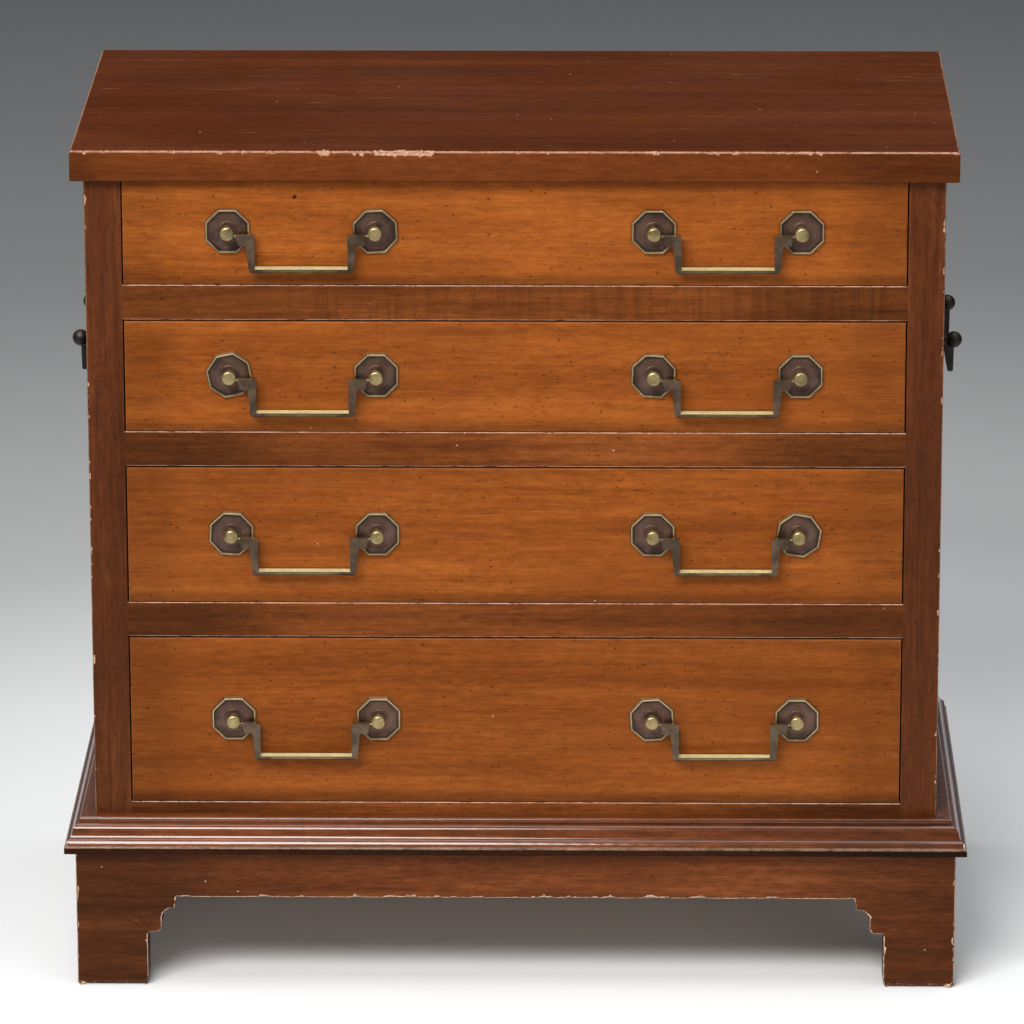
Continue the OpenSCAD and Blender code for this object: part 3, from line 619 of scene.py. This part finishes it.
weathered("front_moulding", [mould_wood], (1.6 * MM, 0, 0), 51, round_to=0.12 * MM, chip=0.4 * MM,
          amount=0.70, grades=(GRADE[:2], [], []), keep=nose_edge)
for name in ("left_moulding", "right_moulding"):
    weathered(name, [mould_side_wood], (0, 1.8 * MM, 0), 52 + len(name), round_to=0.12 * MM,
              chip=0.4 * MM, amount=0.70, grades=([], GRADE[:2], []), keep=nose_edge)


def foot_round(p):
    """The feet's lower edges and corners are rounded off by use."""
    return 1.9 * MM * max(0.0, 1 - p.z / (3.5 * MM))


def foot_chips(p):
    """The feet's lower edges are scuffed to raw wood nearly all along."""
    return 1.3 * MM * fractal(p, 260, 33) if p.z < 1 * MM else 0.0


weathered("front_plinth", [base_wood], (1.7 * MM, 0, 1.7 * MM), 61, chip=1.1 * MM, amount=0.49,
          grades=(GRADE[:3], GRADE[:4], GRADE[:4]), shape=foot_round, extra=foot_chips)
for name in ("left_plinth", "right_plinth"):
    weathered(name, [base_side_wood], (0, 1.9 * MM, 1.9 * MM), 62 + len(name), chip=1.0 * MM,
              amount=0.53, grades=(GRADE[:4], GRADE[:3], GRADE[:4]), shape=foot_round,
              extra=foot_chips)

# ---------------------------------------------------------------- inside and behind

inside_x = plain_wood("inside_wood_x", 0, *INSIDE, seed=71)
inside_y = plain_wood("inside_wood_y", 1, *INSIDE, seed=72)
inside_z = plain_wood("inside_wood_z", 2, *INSIDE, seed=73)
for name, material in (
    ("back_panel", inside_z), ("bottom_board", inside_x), ("runners", inside_y),
    ("drawer_stops", inside_x), ("back_plinth", inside_x), ("glue_blocks", inside_z),
):
    soften(name, material, 0.35 * MM)
steel = metal("steel", (0.30, 0.29, 0.27), (0.5, 0.49, 0.46), 80, shine=0.42)
soften("back_screws", steel, 0.08 * MM)


# ---------------------------------------------------------------- drawers


def front_piece(drawer, k):
    """A drawer's front, darker towards its ends and along its foot."""
    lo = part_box(drawer + "_front")[0]
    colours = [times(c, FACE_TONE[drawer]) for c in FRONT]
    material = wood(
        drawer + "_front_wood", 0, *colours, seed=90 + k, wear=0.12, fleck=0.9, pale=0.5,
        figure=1.0, streaky=0.18,
        shades=[(0, -0.145, -0.184, 0.76), (0, 0.140, 0.184, 0.78),
                (2, lo.z + 9 * MM, lo.z, 0.62)],
    )
    return weathered(
        drawer + "_front", [material], (2.2 * MM, 0, 3 * MM), 100 + k, chip=0.45 * MM, amount=0.62,
        keep=lambda p: p.y < lo.y + 1 * MM,
        grades=(GRADE[:4], GRADE[:3], GRADE[:4]),
    )


def round_hole(obj, at, radius, depth):
    """Bores a small round hole into the front of a piece."""
    bm = bmesh.new()
    lying = Matrix.Translation(at) @ Matrix.Rotation(math.pi / 2, 4, "X")
    bmesh.ops.create_cone(bm, cap_ends=True, segments=20, radius1=radius, radius2=radius * 0.8,
                          depth=2 * depth, matrix=lying)
    mesh = bpy.data.meshes.new("drill")
    bm.to_mesh(mesh)
    bm.free()
    drill = bpy.data.objects.new("drill", mesh)
    bpy.context.scene.collection.objects.link(drill)
    cut = obj.modifiers.new("hole", "BOOLEAN")
    cut.operation = "DIFFERENCE"
    cut.solver = "EXACT"
    cut.object = drill
    evaluated = obj.evaluated_get(bpy.context.evaluated_depsgraph_get())
    bored = bpy.data.meshes.new_from_object(evaluated)
    obj.modifiers.clear()
    obj.data = bored
    bpy.data.objects.remove(drill)


# ---------------------------------------------------------------- pulls and handles

PLATE_BODY = (0.112, 0.064, 0.047)
PLATE_RUBBED = (0.52, 0.43, 0.24)
plate_metal = metal("rosette_bronze", PLATE_BODY, PLATE_RUBBED, 81, shine=0.28, rub=0.25,
                    rings=[(0.868, 0.895, 1.0)])
dark_plate = metal("handle_rosette_bronze", (0.05, 0.04, 0.035), (0.25, 0.19, 0.12), 82, shine=0.4,
                   rub=0.2, rings=[(0.92, 0.96, 0.5)])
post_brass = metal("post_brass", (0.34, 0.26, 0.12), (0.74, 0.61, 0.36), 83, shine=0.22, rub=0.7)
# The bails' upward faces are painted bright, a painted highlight, besides their real rubbing
bail_bronze = metal("bail_bronze", (0.118, 0.079, 0.052), (0.42, 0.325, 0.15), 84, shine=0.26,
                    rub=0.36, lit_tops=0.85)
dark_bronze = metal("handle_bronze", (0.035, 0.030, 0.027), (0.20, 0.15, 0.10), 85, shine=0.38,
                    rub=0.3, lit_tops=0.25)

# The rosettes that have turned on their posts: drawer and place from the left, and degrees
TURNED = {("drawer_2", 0): 12, ("drawer_2", 2): -3, ("drawer_3", 3): -10, ("drawer_1", 1): 3,
          ("drawer_4", 2): 4, ("drawer_3", 0): -3}


def islands(bm):
    """The mesh's separate solids, each a list of its points."""
    left, found = set(bm.verts), []
    while left:
        start = left.pop()
        group, edge = [start], [start]
        while edge:
            v = edge.pop()
            for e in v.link_edges:
                o = e.other_vert(v)
                if o in left:
                    left.remove(o)
                    group.append(o)
                    edge.append(o)
        found.append(group)
    return found


def rosettes(node, axis, material, turns):
    """Rosettes, each with its octagonal distance from its own middle for the shader's rings."""
    bm = clean_copy(node)
    radius = bm.verts.layers.float.new("radius")
    u, w = (0, 2) if axis == 1 else (1, 2)
    groups = islands(bm)
    middles = []
    for group in groups:
        corners = [[f(v.co[k] for v in group) for k in range(3)] for f in (min, max)]
        middles.append([(a + b) / 2 for a, b in zip(*corners)])
    order = sorted(range(len(groups)), key=lambda k: (middles[k][0] > 0, middles[k][u]))
    for place, k in enumerate(order):
        group, middle = groups[k], middles[k]
        flat = max(abs(v.co[w] - middle[w]) for v in group)
        angle = math.radians(turns.get(place, 0))
        for v in group:
            a, b = v.co[u] - middle[u], v.co[w] - middle[w]
            reach = max(abs(a), abs(b), abs(a + b) / math.sqrt(2), abs(a - b) / math.sqrt(2))
            v[radius] = reach / flat
            v.co[u] = middle[u] + a * math.cos(angle) - b * math.sin(angle)
            v.co[w] = middle[w] + a * math.sin(angle) + b * math.cos(angle)
    return add_bevel(make_piece("look_" + node, bm, node, [material]), 0.12 * MM, 2, 24)


def rimmed(node, material, width, segments, reach=1.2 * MM):
    """A casting with softened edges, and the nearness of its edges kept for the shader."""
    bm = clean_copy(node)
    tree = edge_tree(bm, pitch=0.3 * MM)
    rim = bm.verts.layers.float.new("rim")
    for v in bm.verts:
        v[rim] = 1 - min(1.0, tree.find(v.co)[2] / reach)
    return add_bevel(make_piece("look_" + node, bm, node, [material]), width, segments)


BAR_HEIGHT = 3.6 * MM  # the part of a hanging bail that counts as its bar
RUB_HALF, RUB_FADE = 23 * MM, 10 * MM  # half the rubbed length of the bar, and its fading end


def bail_piece(node, material, axis):
    """A bail, with the value "rub" at 1 where a hand holds its bar."""
    bm = clean_copy(node)
    lo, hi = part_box(node)
    middle, foot = (lo[axis] + hi[axis]) / 2, lo.z
    slice_up(bm, 2, [foot + BAR_HEIGHT, foot + 5.2 * MM])
    slice_up(bm, axis, [middle + side * far * MM for side in (-1, 1) for far in (6, 12, 17, 21.5)])
    rub = bm.verts.layers.float.new("rub")
    for v in bm.verts:
        height, away = v.co.z - foot, abs(v.co[axis] - middle)
        on_bar = 1.0 if height < BAR_HEIGHT + 0.1 * MM else 0.0
        v[rub] = on_bar * max(0.0, min(1.0, (RUB_HALF - away) / RUB_FADE))
    return add_bevel(make_piece("look_" + node, bm, node, [material]), 0.26 * MM, 3)


for k, drawer in enumerate(DRAWERS):
    face = front_piece(drawer, k)
    if drawer == "drawer_1":
        lo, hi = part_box("drawer_1_front")
        hole_at = Vector((lo.x + 81.9 * MM, lo.y, hi.z - 7.9 * MM))
        round_hole(face, hole_at, radius=1.15 * MM, depth=3 * MM)
    soften(drawer + "_left_side", inside_y, 0.3 * MM)
    soften(drawer + "_right_side", inside_y, 0.3 * MM)
    soften(drawer + "_back", inside_x, 0.3 * MM)
    soften(drawer + "_bottom", inside_x, 0.3 * MM)
    turns = {place: angle for (name, place), angle in TURNED.items() if name == drawer}
    rosettes(drawer + "_rosettes", 1, plate_metal, turns)
    rimmed(drawer + "_posts", post_brass, 0.12 * MM, 2)
    for side in ("left", "right"):
        bail_piece(f"{drawer}_{side}_bail", bail_bronze, 0)
rosettes("side_rosettes", 0, dark_plate, {})
rimmed("side_posts", dark_bronze, 0.12 * MM, 2)
bail_piece("left_side_bail", dark_bronze, 1)
bail_piece("right_side_bail", dark_bronze, 1)

# ---------------------------------------------------------------- floor, light and camera

FLOOR_RADIUS, FLOOR_SPAN = 9, 2.4  # the floor, and the stretch over which its painted pool of light fades
FLOOR_SHIFT = (-0.09, 0.04, 0)  # puts the middle of the painted pool of light a little right of the chest and in front
# The floor's colour by its share of that stretch: a painted pool of light, bright by the chest and
# dimmer further out
FLOOR_LIGHT_POOL_TONES = [
    (0.0, (0.835, 0.845, 0.85)), (0.13, (0.82, 0.825, 0.83)), (0.30, (0.41,) * 3),
    (0.55, (0.250,) * 3), (0.90, (0.195,) * 3), (1.0, (0.185,) * 3),
]


def make_floor():
    """A pale studio floor with a painted pool of light: its colour falls off away from the chest,
    as under a spotlight.
    """
    bm = bmesh.new()
    bmesh.ops.create_circle(bm, cap_ends=True, segments=96, radius=FLOOR_RADIUS)
    mesh = bpy.data.meshes.new("studio_floor")
    bm.to_mesh(mesh)
    bm.free()
    floor = bpy.data.objects.new("studio_floor", mesh)
    bpy.context.scene.collection.objects.link(floor)
    t = Tree("studio_floor")
    length = t.tree.nodes.new("ShaderNodeVectorMath")
    length.operation = "LENGTH"
    t.tree.links.new(t.scaled((1, 1, 1), FLOOR_SHIFT), length.inputs[0])
    # The floor's colour is a painted pool of light: bright around the chest, dimmer further away
    light_pool = t.ramp(t.math("DIVIDE", length.outputs["Value"], FLOOR_SPAN), FLOOR_LIGHT_POOL_TONES)
    soft = t.noise(t.scaled((6, 6, 6)), 3, 0.5)
    t.bump([(soft, 0.2 * MM)])
    mesh.materials.append(t.set(Base_Color=light_pool, Roughness=0.9))


def softbox(name, at, aim, size, power, colour=(1, 1, 1), mirrored=True):
    """A rectangular lamp. mirrored says whether polish and brass reflect it."""
    light = bpy.data.lights.new(name, "AREA")
    light.shape = "RECTANGLE"
    light.size, light.size_y = size
    light.energy = power
    light.color = colour
    obj = bpy.data.objects.new(name, light)
    bpy.context.scene.collection.objects.link(obj)
    obj.location = at
    obj.rotation_euler = (Vector(aim) - Vector(at)).to_track_quat("-Z", "Y").to_euler()
    obj.visible_glossy = mirrored


make_floor()
MIDDLE, FOOT = (0, 0, 0.2), (0, 0, 0)  # what the lights point at: the chest's middle or its foot
softbox("key", (-0.85, -2.0, 2.2), MIDDLE, size=(1.7, 1.0), power=94, colour=(1.0, 0.985, 0.965))
softbox("fill", (2.2, -2.4, 1.3), MIDDLE, size=(1.8, 1.8), power=14)
softbox("top_box", (0.0, -0.1, 2.6), MIDDLE, size=(2.6, 1.6), power=42)
softbox("low_front", (0.2, -3.2, 0.8), FOOT, size=(2.6, 0.9), power=26,
        colour=(0.92, 0.97, 1.0), mirrored=False)

world = bpy.data.worlds.new("studio")
bpy.context.scene.world = world
world.use_nodes = True
sky = world.node_tree.nodes["Background"].inputs
sky["Color"].default_value = (0.80, 0.90, 1.0, 1)
sky["Strength"].default_value = 0.15

# The camera, fitted to the photo: its lens in mm, its place in metres and its turns
LENS, SENSOR = 241.1, 36
CAMERA_AT = Vector((0.0476, -3.2470, 1.1733))
PITCH, YAW, ROLL = math.radians(16.5315), math.radians(0.8920), math.radians(-0.0993)
camera_data = bpy.data.cameras.new("camera")
camera_data.lens = LENS
camera_data.sensor_width = SENSOR
camera = bpy.data.objects.new("camera", camera_data)
bpy.context.scene.collection.objects.link(camera)
camera.matrix_world = (
    Matrix.Translation(CAMERA_AT) @ Matrix.Rotation(YAW, 4, "Z")
    @ Matrix.Rotation(math.pi / 2 - PITCH, 4, "X") @ Matrix.Rotation(ROLL, 4, "Z")
)
bpy.context.scene.camera = camera
bpy.context.scene.view_settings.view_transform = "Standard"
